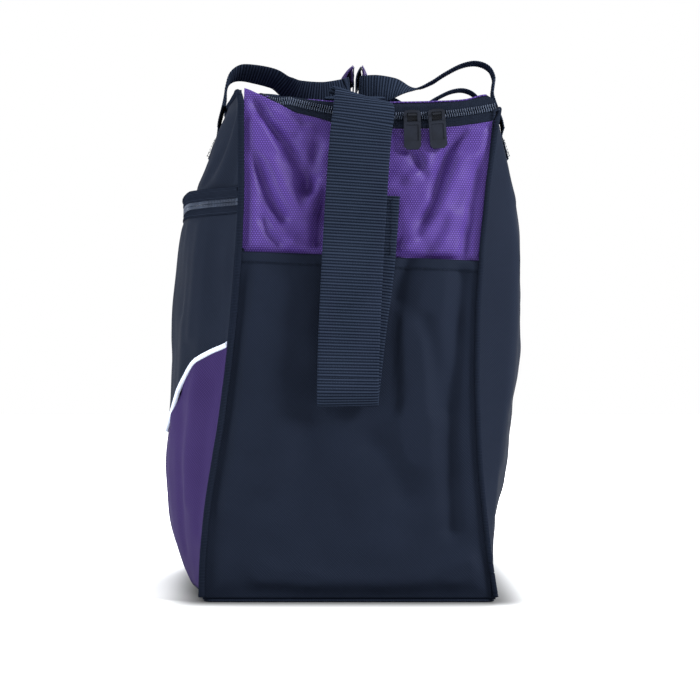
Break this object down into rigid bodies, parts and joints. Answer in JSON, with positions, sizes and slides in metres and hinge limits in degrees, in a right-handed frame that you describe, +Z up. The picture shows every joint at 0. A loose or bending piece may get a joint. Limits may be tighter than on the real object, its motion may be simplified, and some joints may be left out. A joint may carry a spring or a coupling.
{
  "type": "bowling ball bag",
  "caption": "Tall soft one-ball tote with a zipped lid, front shoe pocket, webbing handles with a grip wrap and a shoulder strap.",
  "frame": {"origin": "middle of the base panel, on the floor", "axes": "+X along the length of the bag, towards the end that carries the two zipper pulls; +Y towards the back, away from the shoe pocket; +Z up"},
  "size_m": [0.3754, 0.3178, 0.4615],
  "materials": {
    "black_polyester": "600D twill polyester",
    "purple_mesh": "satin honeycomb polyester",
    "purple_polyester": "plain polyester",
    "webbing": "ribbed polypropylene webbing",
    "piping_black": "ribbed piping",
    "piping_white": "light grey piping",
    "zipper_tape": "woven zipper tape",
    "zipper_coil": "nylon coil",
    "slider_metal": "black enamel",
    "pull_rubber": "soft moulded rubber",
    "board": "rigid plastic sheet",
    "foam": "fabric-covered foam"
  },
  "bodies": {
    "bag": {"base_panel": "black_polyester", "base_board": "board", "ball_cup": "foam", "front_wall": "black_polyester", "back_panel": "black_polyester", "pocket_upper_panel": "black_polyester", "right_end_lower_panel": "black_polyester", "right_end_mesh_panel": "purple_mesh", "left_end_lower_panel": "black_polyester", "left_end_mesh_panel": "purple_mesh", "front_piping": "piping_black", "right_back_piping": "piping_black", "left_back_piping": "piping_black", "back_rim_piping": "piping_black", "pocket_zip_upper_coil": "zipper_coil", "pocket_zip_upper_tape": "zipper_tape", "right_rim_zip_tape": "zipper_tape", "right_rim_zip_coil": "zipper_coil", "left_rim_zip_tape": "zipper_tape", "left_rim_zip_coil": "zipper_coil", "front_rim_zip_tape": "zipper_tape", "front_rim_zip_coil": "zipper_coil", "right_strap_anchor": "webbing", "right_strap_drop": "webbing", "left_strap_anchor": "webbing", "left_strap_drop": "webbing", "front_handle_patch_right": "webbing", "back_handle_patch_right": "webbing", "front_handle_patch_left": "webbing", "back_handle_patch_left": "webbing"},
    "pocket_front": {"pocket_centre_panel": "black_polyester", "pocket_accent_panel": "purple_polyester", "pocket_accent_piping": "piping_white", "pocket_floor_panel": "black_polyester", "pocket_zip_lower_tape": "zipper_tape", "pocket_zip_lower_coil": "zipper_coil"},
    "lid": {"lid_panel": "purple_mesh", "right_lid_zip_coil": "zipper_coil", "right_lid_zip_tape": "zipper_tape", "left_lid_zip_coil": "zipper_coil", "left_lid_zip_tape": "zipper_tape", "strap_crossing": "webbing"},
    "front_handle": {"front_handle_loop": "webbing", "front_grip_wrap": "purple_polyester"},
    "back_handle": {"back_handle_loop": "webbing", "back_grip_wrap": "purple_polyester"},
    "left_slider_body": {"left_slider": "slider_metal"},
    "left_pull_body": {"left_pull_tab": "pull_rubber"},
    "right_slider_body": {"right_slider": "slider_metal"},
    "right_pull_body": {"right_pull_tab": "pull_rubber"},
    "pocket_slider_body": {"pocket_slider": "slider_metal"},
    "pocket_pull_body": {"pocket_pull_tab": "pull_rubber"}
  },
  "joints": [
    {"name": "lid_hinge", "type": "hinge", "parent": "bag", "child": "lid", "pos_m": [0, 0.118, 0.4115], "axis": [-1, 0, 0], "range_deg": [0, 72]},
    {"name": "front_handle_fold", "type": "hinge", "parent": "bag", "child": "front_handle", "pos_m": [0, -0.1196, 0.396], "axis": [1, 0, 0], "range_deg": [0, 158.6]},
    {"name": "back_handle_fold", "type": "hinge", "parent": "bag", "child": "back_handle", "pos_m": [0, 0.1356, 0.396], "axis": [-1, 0, 0], "range_deg": [0, 72.2]},
    {"name": "pocket_open", "type": "hinge", "parent": "bag", "child": "pocket_front", "pos_m": [0, -0.122, 0.007], "axis": [1, 0, 0], "range_deg": [0, 12]},
    {"name": "left_slider_travel", "type": "hinge", "parent": "bag", "child": "left_slider_body", "pos_m": [0, 0.045, 0.769], "axis": [-1, 0, 0], "range_deg": [0, 16.5]},
    {"name": "left_pull_swing", "type": "hinge", "parent": "left_slider_body", "child": "left_pull_body", "pos_m": [0.1707, 0.05096, 0.40235], "axis": [0, -0.9999, -0.0162], "range_deg": [0, 150]},
    {"name": "right_slider_travel", "type": "hinge", "parent": "bag", "child": "right_slider_body", "pos_m": [0, 0.045, 0.769], "axis": [1, 0, 0], "range_deg": [0, 5]},
    {"name": "right_pull_swing", "type": "hinge", "parent": "right_slider_body", "child": "right_pull_body", "pos_m": [0.1707, 0.07082, 0.40321], "axis": [0, -0.9975, -0.0704], "range_deg": [0, 150]},
    {"name": "pocket_slider_travel", "type": "hinge", "parent": "pocket_front", "child": "pocket_slider_body", "pos_m": [0, 0.35851, 0.33], "axis": [0, 0, 1], "range_deg": [0, 14.5]},
    {"name": "pocket_pull_swing", "type": "hinge", "parent": "pocket_slider_body", "child": "pocket_pull_body", "pos_m": [-0.09071, -0.14733, 0.3326], "axis": [-0.9843, 0.1765, 0], "range_deg": [0, 150]}
  ],
  "couplings": [
    {"joint": "front_handle_fold", "follows": "lid_hinge", "ratio": 2.2},
    {"joint": "back_handle_fold", "follows": "lid_hinge", "ratio": 1}
  ]
}
